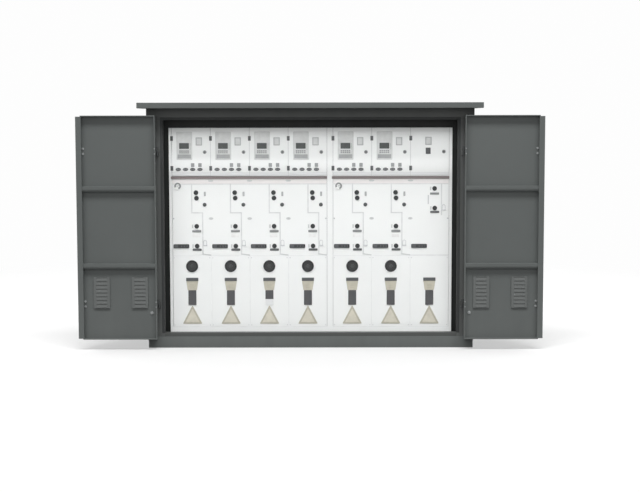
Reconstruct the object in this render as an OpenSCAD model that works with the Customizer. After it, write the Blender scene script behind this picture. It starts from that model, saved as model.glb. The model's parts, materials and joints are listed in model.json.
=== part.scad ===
// Outdoor switching station: a steel housing on a base frame, with two blocks of
// medium-voltage switchgear inside and two pairs of door leaves folded wide open.
// Millimetres, +Z up. X runs along the front, and -Y is the operating side.
// The origin is on the ground, in the middle of the footprint of the whole part.

/* [Switchgear] */
// Width of one switchgear panel
panel_width = 310; // [290:5:400]
// Number of panels in the left block
left_panels = 4; // [2:1:5]
// Number of panels in the right block
right_panels = 3; // [2:1:5]
// Thickness of the end cover on each side of a block
end_cover = 23; // [15:1:40]
// Depth of the switchgear from its front plates to its back
gear_depth = 775; // [600:5:1000]
// Height of the plain strip under the cable covers
plinth_height = 100; // [60:5:200]
// Height of a cable compartment cover
cover_height = 575; // [560:5:800]
// Height of the operating panel
mimic_height = 615; // [600:1:900]
// Height of the coloured strip over the operating panel
trim_height = 24; // [10:1:60]
// Height of an instrument compartment door
instrument_height = 383; // [370:1:600]
// Thickness of the front plates and doors of the switchgear
plate_depth = 18; // [8:1:30]
// Gap between two neighbouring front plates
plate_gap = 4; // [2:1:10]

/* [Instruments] */
// Width of a protection relay
relay_width = 126; // [90:1:140]
// Height of a protection relay
relay_height = 224; // [150:1:260]
// How far a relay stands out of its door
relay_depth = 9; // [4:1:20]
// From the left side of a panel to its relay
relay_inset = 39; // [15:1:50]
// Diameter of an operating socket
socket_diameter = 37; // [25:1:50]
// How far the small fittings stand out of the operating panel
fitting_depth = 7; // [3:1:15]
// Diameter of the ready indicator
gauge_diameter = 60; // [40:1:70]
// Diameter of the round cable window
window_diameter = 96; // [60:1:110]
// Width of the voltage indicator
indicator_width = 126; // [90:1:130]
// Height of the voltage indicator
indicator_height = 32; // [20:1:45]

/* [Housing] */
// Clearance between the switchgear and the edge of the opening, on each side
side_gap = 29; // [20:1:80]
// From the front of the frame to the front plates of the switchgear
recess = 165; // [150:5:300]
// Clearance over the switchgear, up to the header
head_gap = 63; // [30:1:150]
// Clearance behind the switchgear
rear_gap = 130; // [50:5:300]
// Thickness of a wall panel
wall = 30; // [20:1:60]
// Width of a front post
post_width = 128; // [90:1:180]
// Depth of the front posts, the header and the sill
frame_depth = 60; // [40:1:90]
// Height of the header over the opening
header_height = 90; // [60:1:150]
// Height of the sill on the base frame
sill_height = 30; // [20:1:60]
// Height of the base frame
base_height = 90; // [70:5:150]
// Width of the base frame's members
base_member = 60; // [50:1:90]
// Wall of the base frame's members
base_wall = 6; // [4:1:10]
// Level of the floor plate's top
floor_level = 45; // [30:1:60]
// Thickness of the floor plate
floor_plate_depth = 5; // [3:1:10]
// Height of the roof's front edge
roof_edge = 44; // [30:1:90]
// Fall of the roof from its front edge to its back edge
roof_fall = 20; // [0:1:25]
// How far the roof stands out over the front
roof_front = 130; // [100:1:250]
// How far the roof stands out over the back
roof_back = 60; // [20:1:150]
// How far the roof stands out over each side
roof_side = 58; // [20:1:150]

/* [Doors] */
// Depth of a door leaf
leaf_depth = 48; // [42:1:60]
// Sheet thickness of a door leaf
sheet = 3; // [2:0.5:5]
// Width of the lip that runs round the inside of a leaf
leaf_lip = 8; // [6:1:30]
// How far a closed leaf laps over the frame round the opening
leaf_lap = 35; // [25:1:50]
// Clearance between a leaf and what it passes or closes on
leaf_clear = 5; // [5:0.5:10]
// From a hinge pin to the edge of a leaf
hinge_edge = 12; // [12:0.5:20]
// From a hinge pin to the outer face of a leaf
hinge_out = 10; // [8.5:0.5:14]
// Radius of a hinge barrel
barrel_radius = 7; // [5:0.5:7]
// Radius of a hinge pin
pin_radius = 3.5; // [2:0.5:4]
// Clearance of a pin in its barrel
pin_clear = 0.3; // [0.2:0.1:0.5]
// Height of each half of a hinge barrel
barrel_height = 35; // [20:1:60]
// From the middle of a leaf up or down to a hinge
hinge_spread = 600; // [400:10:700]
// Length of a hinge strap on a leaf
strap_length = 62; // [40:1:90]
// How much narrower than half its pair the outer leaf is
joint_shift = 11; // [0:0.5:12]
// From the middle of a leaf up or down to a stiffener
stiffener_spread = 303; // [200:1:400]
// Height of a stiffener
stiffener_height = 48; // [35:1:60]
// Radius of the lower front edge of a stiffener
stiffener_round = 28; // [5:1:28]
// Clearance between a stiffener and the leaf's lip
stiffener_gap = 1; // [1:0.5:5]
// How far the rebate strip stands out past the outer leaf
rebate_reach = 35; // [30:1:50]
// Width of the louvre blades
louvre_width = 86; // [60:1:150]
// Number of blades in a louvre field
louvre_blades = 8; // [4:1:12]
// Spacing of the louvre blades
louvre_pitch = 30; // [20:1:40]
// From the bottom of a leaf to the lowest louvre
louvre_base = 248; // [120:1:300]
// Distance between the middles of a leaf's two louvre fields
louvre_spacing = 300; // [200:1:330]
// How far a leaf's louvre fields are moved towards the post
louvre_shift = 6; // [0:1:15]

/* [Hidden] */
$fn = 48;
over = 1;             // how far a cutting shape runs past what it cuts
open_turn = 180;      // turn of the leaves from shut to folded back

// Switchgear: widths, heights and levels
panels = left_panels + right_panels;
left_width = left_panels * panel_width + 2 * end_cover;
right_width = right_panels * panel_width + 2 * end_cover;
gear_width = left_width + right_width;
gear_height = plinth_height + cover_height + mimic_height + trim_height + instrument_height;
cover_level = floor_level + plinth_height;
mimic_level = cover_level + cover_height;
trim_level = mimic_level + mimic_height;
instrument_level = trim_level + trim_height;
gear_top = floor_level + gear_height;

// Housing: opening, levels and depths, measured from the front of the frame
opening_half = gear_width / 2 + side_gap;
body_half = opening_half + post_width;
body_depth = recess + gear_depth + rear_gap + wall;
sill_top = base_height + sill_height;
header_level = gear_top + head_gap;
wall_top = header_level + header_height;

// Doors: the leaves shut from hinge_x to the middle of the opening
hinge_x = opening_half + leaf_lap;
rebate_gap = 1;
hinge_y = -(leaf_clear + sheet + rebate_gap + leaf_depth + hinge_out);
leaf_bottom = sill_top - leaf_lap;
leaf_top = header_level + leaf_lap;
leaf_height = leaf_top - leaf_bottom;
leaf_middle = (leaf_top + leaf_bottom) / 2;
outer_width = (hinge_x - hinge_edge) / 2 - joint_shift;
fold_u = outer_width + 2 * hinge_edge;
inner_width = hinge_x - fold_u - hinge_edge - leaf_clear / 2;
inner_start = fold_u - hinge_edge - inner_width;
leaf_back = hinge_out + leaf_depth;
stiffener_depth = leaf_depth - 2 * sheet - stiffener_gap;

// The folded leaves or the roof stand out furthest to the front
front_reach = max(roof_front, leaf_back + rebate_gap + sheet - hinge_y);
frame_y = (front_reach - body_depth - roof_back) / 2;

housing_grey = [0.38, 0.40, 0.39];
frame_grey = [0.30, 0.31, 0.31];
gear_white = [0.93, 0.94, 0.94];
dark_grey = [0.20, 0.21, 0.21];
steel = [0.62, 0.63, 0.64];
beige = [0.78, 0.76, 0.68];
trim_red = [0.45, 0.38, 0.37];

// Middle of panel i, counted from the left, across both blocks
function panel_x(i) = -gear_width / 2 + end_cover + (i + 0.5) * panel_width
    + (i < left_panels ? 0 : 2 * end_cover);

// Stands a child on the part's own frame: y = 0 is the front of the housing's frame
module placed() translate([0, frame_y, 0]) children();

// A box from its lowest corner to its highest corner
module block(low, high) translate(low) cube(high - low);

// ---- Housing ----

// Welded ring of channels, open inwards, with rails under the floor plate
module base_frame() color(housing_grey) {
    difference() {
        block([-body_half, 0, 0], [body_half, body_depth, base_height]);
        block([-body_half + base_member, base_member, -over],
            [body_half - base_member, body_depth - base_member, base_height + over]);
        block([-body_half + base_wall, base_wall, base_wall],
            [body_half - base_wall, body_depth - base_wall, base_height - base_wall]);
    }
    for (y = [recess + base_member, recess + gear_depth - 2 * base_member])
        block([-body_half + base_wall, y, 0],
            [body_half - base_wall, y + base_member, floor_level - floor_plate_depth]);
}

module floor_plate() color(dark_grey)
    block([-body_half + base_member, base_member, floor_level - floor_plate_depth],
        [body_half - base_member, body_depth - base_member, floor_level]);

module side_wall() color(housing_grey)
    block([body_half - wall, frame_depth, base_height],
        [body_half, body_depth - wall, wall_top]);

module left_wall() mirror([1, 0, 0]) side_wall();

module right_wall() side_wall();

module back_wall() color(housing_grey)
    block([-body_half, body_depth - wall, base_height], [body_half, body_depth, wall_top]);

// Flat panel that falls to the back, with an overhang all round
module roof() color(housing_grey)
    translate([-body_half - roof_side, 0, 0]) rotate([90, 0, 90])
        linear_extrude(2 * (body_half + roof_side))
            polygon([[-roof_front, wall_top], [body_depth + roof_back, wall_top],
                [body_depth + roof_back, wall_top + roof_edge - roof_fall],
                [-roof_front, wall_top + roof_edge]]);

module header() color(frame_grey)
    block([-body_half, 0, header_level], [body_half, frame_depth, wall_top]);

module sill() color(frame_grey)
    block([-opening_half, 0, base_height], [opening_half, frame_depth, sill_top]);

module post() color(frame_grey)
    block([opening_half, 0, base_height], [body_half, frame_depth, header_level]);

module left_post() mirror([1, 0, 0]) post();

module right_post() post();

// ---- Switchgear ----

// Closed housing of one block; its front plates stand plate_depth before it
module gear_block(left, width) color(gear_white) {
    block([left, recess + plate_depth, floor_level],
        [left + width, recess + gear_depth, gear_top]);
    block([left, recess, floor_level],
        [left + width, recess + plate_depth, cover_level - plate_gap]);
    for (x = [left, left + width - end_cover])
        block([x, recess, cover_level - plate_gap], [x + end_cover, recess + plate_depth, gear_top]);
}

module left_switchgear() gear_block(-gear_width / 2, left_width);

module right_switchgear() gear_block(-gear_width / 2 + left_width, right_width);

// A front plate of panel i between two levels, clear of its neighbours by plate_gap
module front_plate(i, low, high) translate([panel_x(i), recess, 0])
    block([(plate_gap - panel_width) / 2, 0, low], [(panel_width - plate_gap) / 2, plate_depth, high]);

module instrument_doors(first, last) color(gear_white)
    for (i = [first:last]) front_plate(i, instrument_level, gear_top);

module left_instrument_doors() instrument_doors(0, left_panels - 1);

module right_instrument_doors() instrument_doors(left_panels, panels - 1);

// One plate across all panels of a block
module operating_panel(first, last) color(gear_white)
    block([panel_x(first) + (plate_gap - panel_width) / 2, recess, mimic_level],
        [panel_x(last) + (panel_width - plate_gap) / 2, recess + plate_depth, trim_level - plate_gap]);

module left_operating_panel() operating_panel(0, left_panels - 1);

module right_operating_panel() operating_panel(left_panels, panels - 1);

module cable_covers(first, last) color(gear_white)
    for (i = [first:last]) front_plate(i, cover_level, mimic_level - plate_gap);

module left_cable_covers() cable_covers(0, left_panels - 1);

module right_cable_covers() cable_covers(left_panels, panels - 1);

trim_depth = 3;

// A strip over the operating panel of each block
module trim_strips() color(trim_red)
    for (ends = [[0, left_panels - 1], [left_panels, panels - 1]])
        block([panel_x(ends[0]) - panel_width / 2, recess - trim_depth, trim_level],
            [panel_x(ends[1]) + panel_width / 2, recess + plate_depth, instrument_level - plate_gap]);

// ---- Fittings on the switchgear ----

relay_level = instrument_level + 128;
gauge_inset = 46;
gauge_drop = 56;

// Puts a child on the front plane of panel i, at an offset from its middle and a level
module on_panel(i, x, z) translate([panel_x(i) + x, recess, z]) children();

// A round fitting that stands out of the front plane
module button(diameter, depth) rotate([90, 0, 0]) cylinder(h = depth, d = diameter);

// A rectangular fitting, centred, that stands out of the front plane
module plate(width, height, depth) translate([-width / 2, -depth, -height / 2])
    cube([width, depth, height]);

// Relay cases with a stepped front, on every panel but the last
module protection_relays() color([0.72, 0.73, 0.73])
    for (i = [0:panels - 2])
        on_panel(i, relay_inset + (relay_width - panel_width) / 2, relay_level + relay_height / 2) {
            plate(relay_width, relay_height, relay_depth / 2);
            plate(relay_width - 12, relay_height - 12, relay_depth);
        }

// Bezel and dial in the upper left corner of each block
module ready_indicators() color(steel)
    for (i = [0, left_panels])
        on_panel(i, gauge_inset - panel_width / 2, trim_level - gauge_drop) {
            difference() {
                button(gauge_diameter, fitting_depth);
                translate([0, -fitting_depth / 2, 0]) button(gauge_diameter - 8, fitting_depth);
            }
        }

// Sockets for the operating lever, shut by their slides, with a slide bar under most
// Each is [offset from the panel's middle, height on the operating panel, drop to its bar].
feeder_sockets = [[36, 506, 0], [40, 462, 0], [40, 236, 39], [42, 77, 29]];
end_sockets = [[38, 537, 41], [40, 380, 31]];
bar_width = 72;
bar_height = 18;

module sockets(i, spots) for (spot = spots) on_panel(i, spot[0], mimic_level + spot[1]) {
    button(socket_diameter, fitting_depth);
    if (spot[2] > 0) translate([0, 0, -spot[2]]) plate(bar_width, bar_height, fitting_depth - 2);
}

module operating_sockets() color(dark_grey) {
    for (i = [0:panels - 2]) sockets(i, feeder_sockets);
    sockets(panels - 1, end_sockets);
}

indicator_inset = 8;
indicator_rise = 76;

module voltage_indicators() color(dark_grey)
    for (i = [0:panels - 1])
        on_panel(i, indicator_inset + (indicator_width - panel_width) / 2, mimic_level + indicator_rise)
            plate(indicator_width, indicator_height, fitting_depth);

window_drop = 85;

// Round windows in the cable covers of the relay panels
module cable_windows() color(dark_grey)
    for (i = [0:panels - 2])
        on_panel(i, 0, mimic_level - window_drop) difference() {
            button(window_diameter, fitting_depth);
            translate([0, -fitting_depth / 2, 0]) button(window_diameter - 18, fitting_depth);
        }

// Plates on each cable cover: a bar, a grip, a slot plate and a three-cornered plate
cover_bar = [98, 26];          // width and height
cover_grip = [96, 74, 75];     // width at the top and at the bottom, and height
cover_slot = [64, 120];        // width and height
cover_sign = [150, 148];       // width at the foot, and height
cover_top_drop = 179;
plate_thin = 3;

module outline(points, depth) rotate([90, 0, 0]) linear_extrude(depth) polygon(points);

module cover_plates() for (i = [0:panels - 1]) on_panel(i, 0, mimic_level - cover_top_drop) {
    color(dark_grey) translate([0, 0, -cover_bar[1] / 2]) plate(cover_bar[0], cover_bar[1], fitting_depth);
    translate([0, 0, -cover_bar[1]]) {
        color(beige) outline([[-cover_grip[0] / 2, 0], [cover_grip[0] / 2, 0],
            [cover_grip[1] / 2, -cover_grip[2]], [-cover_grip[1] / 2, -cover_grip[2]]], plate_thin);
        translate([0, 0, -cover_grip[2] - cover_slot[1] / 2])
            color(dark_grey) plate(cover_slot[0], cover_slot[1], fitting_depth - 2);
        translate([0, 0, -cover_grip[2] - cover_slot[1] - 1])
            color(beige) outline([[0, 0], [cover_sign[0] / 2, -cover_sign[1]],
                [-cover_sign[0] / 2, -cover_sign[1]]], plate_thin);
    }
}

// ---- Doors ----
// A leaf is drawn shut, in the frame of its post hinge: x runs from the pin along the leaf,
// y runs from the pin into the housing, and the outer face is at y = hinge_out.

module on_left_hinge() translate([-hinge_x, hinge_y, 0]) rotate([0, 0, open_turn]) children();

module on_right_hinge() mirror([1, 0, 0]) on_left_hinge() children();

// The inner leaf lies folded on the outer one, face to face across the fold pin
module folded() mirror([0, 1, 0]) children();

louvre_height = louvre_blades * louvre_pitch;
louvre_level = leaf_bottom + louvre_base;

// Middles of the two louvre fields of a leaf
function louvre_places(start, width) = [for (side = [-1, 1])
    start + (width + side * louvre_spacing) / 2 - louvre_shift];

hinge_levels = [leaf_middle - hinge_spread, leaf_middle + hinge_spread];

// Tray of folded sheet with a lip round its open side and holes for the louvres
module leaf(start, width) color(housing_grey) difference() {
    block([start, hinge_out, leaf_bottom], [start + width, leaf_back, leaf_top]);
    block([start + sheet, hinge_out + sheet, leaf_bottom + sheet],
        [start + width - sheet, leaf_back - sheet, leaf_top - sheet]);
    block([start + leaf_lip, leaf_back - 2 * sheet, leaf_bottom + leaf_lip],
        [start + width - leaf_lip, leaf_back + over, leaf_top - leaf_lip]);
    for (x = louvre_places(start, width))
        translate([x - louvre_width / 2, hinge_out - over, louvre_level])
            cube([louvre_width, sheet + 2 * over, louvre_height]);
}

// Outline of a stiffener standing on the skin, square above and rounded below
module rounded_below(depth, height, radius) {
    square([depth - radius, height]);
    translate([0, radius]) square([depth, height - radius]);
    translate([depth - radius, radius]) intersection() {
        circle(radius);
        translate([0, -radius]) square(radius);
    }
}

// Two channels across the inside of a leaf
module stiffeners(start, width) color(housing_grey)
    for (side = [-1, 1])
        translate([start + sheet, hinge_out + sheet, leaf_middle + side * stiffener_spread - stiffener_height / 2])
            rotate([90, 0, 90]) linear_extrude(width - 2 * sheet) difference() {
                rounded_below(stiffener_depth, stiffener_height, stiffener_round);
                translate([-over, sheet]) rounded_below(stiffener_depth - sheet + over,
                    stiffener_height - 2 * sheet, stiffener_round - sheet);
            }

// A flat frame behind each louvre hole, with roof-shaped blades across it: each blade reaches
// up inside the next one, so they shed water and nothing can be pushed straight through
louvre_side = 20;     // width of the frame on each side of the blades
louvre_end = 3;       // and at the top and the bottom
louvre_depth = 15;
blade_lean = 5;       // how far the ridge of a blade lies behind its inner foot
blade_lap = 1;
blade_thick = 2;

module blade_section() {
    ridge = louvre_depth - blade_lean;
    rise = louvre_pitch + blade_lap;
    notch = 1 - blade_thick / (louvre_depth - sheet - blade_thick);
    polygon([[sheet, 0], [sheet + blade_thick, 0],
        [sheet + blade_thick + notch * (ridge - sheet - blade_thick / 2), notch * rise],
        [louvre_depth - blade_thick, 0], [louvre_depth, 0],
        [ridge + blade_thick / 2, rise], [ridge - blade_thick / 2, rise]]);
}

module louvres(start, width) color(housing_grey)
    for (x = louvre_places(start, width)) translate([x, hinge_out, louvre_level]) {
        difference() {
            translate([-louvre_width / 2 - louvre_side, sheet, -louvre_end])
                cube([louvre_width + 2 * louvre_side, louvre_depth - sheet, louvre_height + 2 * louvre_end]);
            translate([-louvre_width / 2, 0, 0]) cube([louvre_width, louvre_depth + over, louvre_height]);
        }
        for (k = [0:louvre_blades - 1])
            translate([-louvre_width / 2 - over, 0, k * louvre_pitch])
                rotate([90, 0, 90]) linear_extrude(louvre_width + 2 * over) blade_section();
    }

rebate_end = 8;       // how far the strip stops short of the leaf's top and bottom

// Strip over the joint of the two leaves, so thin that it passes before the frame
module rebate_strip() color(housing_grey) {
    edge = hinge_edge + outer_width;
    block([edge - leaf_lip, leaf_back, leaf_bottom + rebate_end],
        [edge, leaf_back + rebate_gap, leaf_top - rebate_end]);
    block([edge - leaf_lip, leaf_back + rebate_gap, leaf_bottom + rebate_end],
        [edge + rebate_reach, leaf_back + rebate_gap + sheet, leaf_top - rebate_end]);
}

barrel_gap = 0.5;
strap_depth = 5;

// Bracket on the post with the lower barrel and the pin of each hinge
module post_hinges() color(dark_grey) for (z = hinge_levels)
    translate([-hinge_x, hinge_y, z]) {
        block([-barrel_radius, 0, -barrel_height], [barrel_radius, -hinge_y, -barrel_gap]);
        translate([0, 0, -barrel_height]) cylinder(h = barrel_height - barrel_gap, r = barrel_radius);
        translate([0, 0, -over]) cylinder(h = barrel_height, r = pin_radius);
    }

module left_post_hinges() post_hinges();

module right_post_hinges() mirror([1, 0, 0]) post_hinges();

// Strap and upper barrel of each post hinge, on the outer face of the outer leaf
module door_hinges() color(dark_grey) for (z = hinge_levels) difference() {
    translate([0, 0, z]) {
        cylinder(h = barrel_height, r = barrel_radius);
        block([0, hinge_out - strap_depth, 0], [hinge_edge + strap_length, hinge_out, barrel_height]);
    }
    translate([0, 0, z - over]) cylinder(h = barrel_height + 2 * over, r = pin_radius + pin_clear);
}

// Barrel, pin head and both straps of each hinge between the leaves
module leaf_hinges() color(dark_grey) for (z = hinge_levels) translate([fold_u, 0, z]) {
    translate([0, 0, -barrel_height]) cylinder(h = 2 * barrel_height, r = barrel_radius);
    translate([0, 0, -barrel_height - 3]) cylinder(h = 2 * barrel_height + 6, r = pin_radius);
    block([-hinge_edge - strap_length, hinge_out - strap_depth, barrel_gap],
        [0, hinge_out, barrel_height]);
    block([-hinge_edge - strap_length, -hinge_out, -barrel_height],
        [0, strap_depth - hinge_out, -barrel_gap]);
}

// Lock case and rods in the free side of the inner leaf, drawn as on an outer leaf
lock_case = [56, 24, 150];
lock_inset = 22;
rod_radius = 5;
rod_guide = [20, 22, 16];
rod_strip = 60;       // strip along the free edge that the stiffeners leave to the rods

module lock() color(steel) {
    lock_u = inner_start + lock_inset;
    translate([lock_u, hinge_out + sheet, leaf_middle - lock_case[2] / 2]) cube(lock_case);
    translate([lock_u + lock_case[0] / 2, hinge_out + sheet + lock_case[1] / 2, leaf_bottom + leaf_lip])
        cylinder(h = leaf_height - 2 * leaf_lip, r = rod_radius);
    for (side = [-1, 1])
        translate([lock_u + (lock_case[0] - rod_guide[0]) / 2, hinge_out + sheet,
            leaf_middle + side * stiffener_spread - rod_guide[2] / 2])
            cube(rod_guide);
}

module left_outer_leaf() on_left_hinge() leaf(hinge_edge, outer_width);

module left_inner_leaf() on_left_hinge() folded() leaf(inner_start, inner_width);

module left_stiffeners() on_left_hinge() {
    stiffeners(hinge_edge, outer_width);
    folded() stiffeners(inner_start + rod_strip, inner_width - rod_strip);
}

module left_louvres() on_left_hinge() {
    louvres(hinge_edge, outer_width);
    folded() louvres(inner_start, inner_width);
}

module left_rebate_strip() on_left_hinge() rebate_strip();

module left_door_hinges() on_left_hinge() door_hinges();

module left_leaf_hinges() on_left_hinge() leaf_hinges();

module left_lock() on_left_hinge() folded() lock();

module right_outer_leaf() mirror([1, 0, 0]) left_outer_leaf();

module right_inner_leaf() mirror([1, 0, 0]) left_inner_leaf();

module right_stiffeners() mirror([1, 0, 0]) left_stiffeners();

module right_louvres() mirror([1, 0, 0]) left_louvres();

module right_rebate_strip() mirror([1, 0, 0]) left_rebate_strip();

module right_door_hinges() mirror([1, 0, 0]) left_door_hinges();

module right_leaf_hinges() mirror([1, 0, 0]) left_leaf_hinges();

module right_lock() mirror([1, 0, 0]) left_lock();

placed() base_frame();
placed() floor_plate();
placed() left_wall();
placed() right_wall();
placed() back_wall();
placed() roof();
placed() header();
placed() sill();
placed() left_post();
placed() right_post();
placed() left_switchgear();
placed() right_switchgear();
placed() left_instrument_doors();
placed() right_instrument_doors();
placed() left_operating_panel();
placed() right_operating_panel();
placed() left_cable_covers();
placed() right_cable_covers();
placed() trim_strips();
placed() protection_relays();
placed() ready_indicators();
placed() operating_sockets();
placed() voltage_indicators();
placed() cable_windows();
placed() cover_plates();
placed() left_post_hinges();
placed() right_post_hinges();
placed() left_outer_leaf();
placed() left_inner_leaf();
placed() left_stiffeners();
placed() left_louvres();
placed() left_rebate_strip();
placed() left_door_hinges();
placed() left_leaf_hinges();
placed() left_lock();
placed() right_outer_leaf();
placed() right_inner_leaf();
placed() right_stiffeners();
placed() right_louvres();
placed() right_rebate_strip();
placed() right_door_hinges();
placed() right_leaf_hinges();
placed() right_lock();
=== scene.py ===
import json
from math import atan2, cos, pi, radians, sin, tan

import bmesh
import bpy
from mathutils import Matrix, Vector

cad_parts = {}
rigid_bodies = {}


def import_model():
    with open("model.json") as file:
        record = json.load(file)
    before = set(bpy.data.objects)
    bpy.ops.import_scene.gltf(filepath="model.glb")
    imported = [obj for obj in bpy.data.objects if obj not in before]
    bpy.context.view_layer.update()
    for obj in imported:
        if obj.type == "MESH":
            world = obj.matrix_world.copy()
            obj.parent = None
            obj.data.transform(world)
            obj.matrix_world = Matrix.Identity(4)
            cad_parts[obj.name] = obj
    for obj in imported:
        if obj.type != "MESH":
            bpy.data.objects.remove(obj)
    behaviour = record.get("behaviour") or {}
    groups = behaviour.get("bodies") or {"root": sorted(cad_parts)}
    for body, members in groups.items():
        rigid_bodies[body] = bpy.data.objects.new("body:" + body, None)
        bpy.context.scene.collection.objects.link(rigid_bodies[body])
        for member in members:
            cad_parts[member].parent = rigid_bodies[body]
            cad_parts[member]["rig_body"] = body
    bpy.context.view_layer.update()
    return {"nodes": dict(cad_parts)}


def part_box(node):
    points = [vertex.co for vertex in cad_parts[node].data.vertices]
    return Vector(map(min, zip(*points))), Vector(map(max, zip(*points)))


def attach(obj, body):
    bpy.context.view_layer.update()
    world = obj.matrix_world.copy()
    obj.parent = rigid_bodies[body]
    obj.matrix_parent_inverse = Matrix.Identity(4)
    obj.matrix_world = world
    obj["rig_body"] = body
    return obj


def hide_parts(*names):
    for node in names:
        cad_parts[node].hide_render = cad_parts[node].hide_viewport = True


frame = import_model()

# Outdoor switching station: the finish of its sheet metal, and the small fittings of the
# switchgear, the housing and the doors, built round the CAD frame. Shapes are measured in
# millimetres; the shaders and the last section are in metres. +Z is up.

MM = 0.001
SHARP = radians(35)                   # an edge that turns more than this is shaded as sharp
PANELS = {"left": 4, "right": 3}      # in each block of switchgear
SIDES = {"left": -1, "right": 1}      # the sign of X there


# ---- Directions ----

def facing(u, v, n):
    """Turns a drawing in (u, v) with height n so that it lies along three row directions."""
    return Matrix((u, v, n)).transposed().to_4x4()


FRONT = facing((1, 0, 0), (0, 0, 1), (0, -1, 0))
BACK = facing((-1, 0, 0), (0, 0, 1), (0, 1, 0))
LEFT = facing((0, -1, 0), (0, 0, 1), (-1, 0, 0))
RIGHT = facing((0, 1, 0), (0, 0, 1), (1, 0, 0))
UP = facing((1, 0, 0), (0, 1, 0), (0, 0, 1))


def at(direction, x, y, z):
    """A drawing plane with that direction and its origin at a point of the row frame."""
    return Matrix.Scale(MM, 4) @ Matrix.Translation((x, y, z)) @ direction


def shift(place, u=0.0, v=0.0, n=0.0):
    """A drawing plane moved along itself by u and v, and outwards by n."""
    return place @ Matrix.Translation((u, v, n))


# ---- Outlines, anticlockwise in (u, v) ----

def rounded(corners, radius):
    """A polygon whose corners are arcs of four steps."""
    outline = []
    for k, corner in enumerate(corners):
        here = Vector(corner)
        back = (Vector(corners[k - 1]) - here).normalized()
        ahead = (Vector(corners[(k + 1) % len(corners)]) - here).normalized()
        half = back.angle(ahead) / 2
        start = here + back * radius / tan(half)
        end = here + ahead * radius / tan(half)
        centre = here + (back + ahead).normalized() * radius / sin(half)
        for part in spread(0, 1, 5):
            ray = (start - centre).lerp(end - centre, part)
            outline.append(tuple(centre + ray.normalized() * radius))
    return outline


def between(u0, v0, u1, v1):
    """A rectangle from its lower left corner to its upper right one."""
    return [(u0, v0), (u1, v0), (u1, v1), (u0, v1)]


def rect(width, height, corner=0.0):
    """A rectangle round the origin, with rounded corners if asked."""
    corners = between(-width / 2, -height / 2, width / 2, height / 2)
    return rounded(corners, corner) if corner else corners


def frame_of(width, height, corner, rim):
    """The outer and inner outline of a rounded frame."""
    hollow = rect(width - 2 * rim, height - 2 * rim, max(corner - rim, 0.8))
    return rect(width, height, corner), hollow


def ellipse(width, height, sides=28):
    """An ellipse round the origin."""
    turns = [2 * pi * k / sides for k in range(sides)]
    return [(width / 2 * cos(t), height / 2 * sin(t)) for t in turns]


def inset(outline, distance):
    """The outline moved inwards by a distance, with mitred corners."""
    moved = []
    for k, point in enumerate(outline):
        here = Vector(point)
        before = (here - Vector(outline[k - 1])).normalized()
        after = (Vector(outline[(k + 1) % len(outline)]) - here).normalized()
        inward = (Vector((-before.y, before.x)) + Vector((-after.y, after.x))).normalized()
        lean = max(0.3, inward.dot(Vector((-after.y, after.x))))
        moved.append(tuple(here + inward * distance / lean))
    return moved


def spread(first, last, count):
    """Evenly spaced numbers from first to last."""
    return [first + (last - first) * k / (count - 1) for k in range(count)]


# ---- Shapes and pieces ----

class Shape:
    """The points and faces of one piece, gathered from closed forms."""

    def __init__(self):
        self.points = []
        self.faces = []

    def loft(self, place, rings):
        """A closed form through rings of (u, v, n) points, from its foot to its top."""
        start, count = len(self.points), len(rings[0])
        for ring in rings:
            self.points += [place @ Vector(point) for point in ring]
        for level in range(len(rings) - 1):
            first = start + level * count
            for k in range(count):
                a, b = first + k, first + (k + 1) % count
                self.faces.append((a, b, b + count, a + count))
        self.faces.append(tuple(range(start + count - 1, start - 1, -1)))
        last = start + (len(rings) - 1) * count
        self.faces.append(tuple(range(last, last + count)))

    def slab(self, place, outline, low, high, edge=0.4, steps=2):
        """An outline raised from low to high, with its upper edge rounded."""
        rings = [[(u, v, low) for u, v in outline]]
        for k in range(steps + 1):
            turn = pi / 2 * k / steps
            level = high - edge * (1 - sin(turn))
            rings.append([(u, v, level) for u, v in inset(outline, edge * (1 - cos(turn)))])
        self.loft(place, rings)

    def dish(self, place, outer, inner, low, high, floor, edge=0.4):
        """A slab with a recess inside an inner outline of as many points, down to floor."""
        rings = [(outer, low), (outer, high - edge), (inset(outer, edge), high),
                 (inset(inner, -edge), high), (inner, high - edge), (inner, floor)]
        self.loft(place, [[(u, v, level) for u, v in outline] for outline, level in rings])

    def turned(self, place, profile, sides=24):
        """A turned form: (radius, height) pairs from the rim of its foot to its top."""
        turns = [2 * pi * k / sides for k in range(sides)]
        self.loft(place, [[(r * cos(t), r * sin(t), n) for t in turns] for r, n in profile])

    def wire(self, points, radius, sides=8):
        """A round bar along points of the row frame, all in one plane and not in one line."""
        path = [Vector(p) for p in points]
        normal = (path[1] - path[0]).cross(path[-1] - path[1]).normalized()
        turns = [2 * pi * s / sides for s in range(sides)]
        rings = []
        for k, here in enumerate(path):
            along = (path[min(k + 1, len(path) - 1)] - path[max(k - 1, 0)]).normalized()
            across = normal.cross(along)
            rings.append([here + (normal * sin(t) + across * cos(t)) * radius for t in turns])
        self.loft(Matrix.Scale(MM, 4), rings)

    def mesh(self, name, mirror=False):
        """The gathered faces as a mesh, and mirrored across the middle if asked."""
        points = [(-p.x, p.y, p.z) if mirror else tuple(p) for p in self.points]
        faces = [tuple(reversed(f)) for f in self.faces] if mirror else self.faces
        made = bpy.data.meshes.new(name)
        made.from_pydata(points, [], faces)
        made.validate()
        return made


def shapes(count):
    """Empty shapes, one for each piece of a group of fittings."""
    return [Shape() for _ in range(count)]


def new_object(name, data):
    """An object in the scene with that data."""
    made = bpy.data.objects.new(name, data)
    bpy.context.scene.collection.objects.link(made)
    return made


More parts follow.
